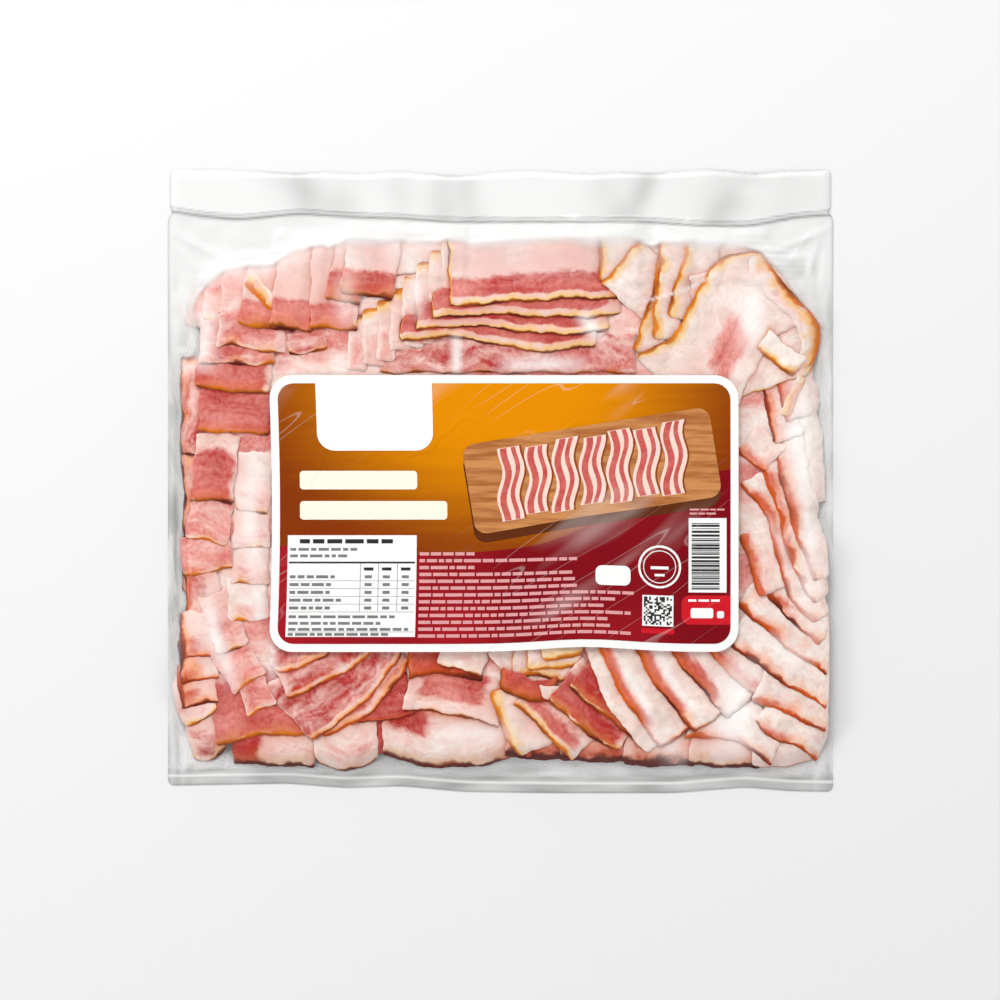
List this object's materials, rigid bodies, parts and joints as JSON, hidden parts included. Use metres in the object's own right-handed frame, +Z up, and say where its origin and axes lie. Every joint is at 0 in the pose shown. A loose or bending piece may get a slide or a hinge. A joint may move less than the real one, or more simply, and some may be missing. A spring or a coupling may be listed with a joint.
{
  "type": "bacon pack",
  "caption": "Flat sealed clear bag of shingled bacon rashers with a wide header seal and a stuck-on rectangular label, lying face up.",
  "frame": {"origin": "centre of the flat underside, at the middle of the bag's width and length", "axes": "+X across the bag to the label's right, +Y towards the wide header seal, +Z up out of the label"},
  "size_m": [0.266, 0.2497, 0.0113],
  "materials": {
    "bag": "clear glossy film over pink and cream rashers with golden rinds",
    "label": "glossy printed sticker, amber above and dark red below, with a white border"
  },
  "bodies": {
    "root": {"bag": "bag", "label": "label"}
  },
  "joints": []
}
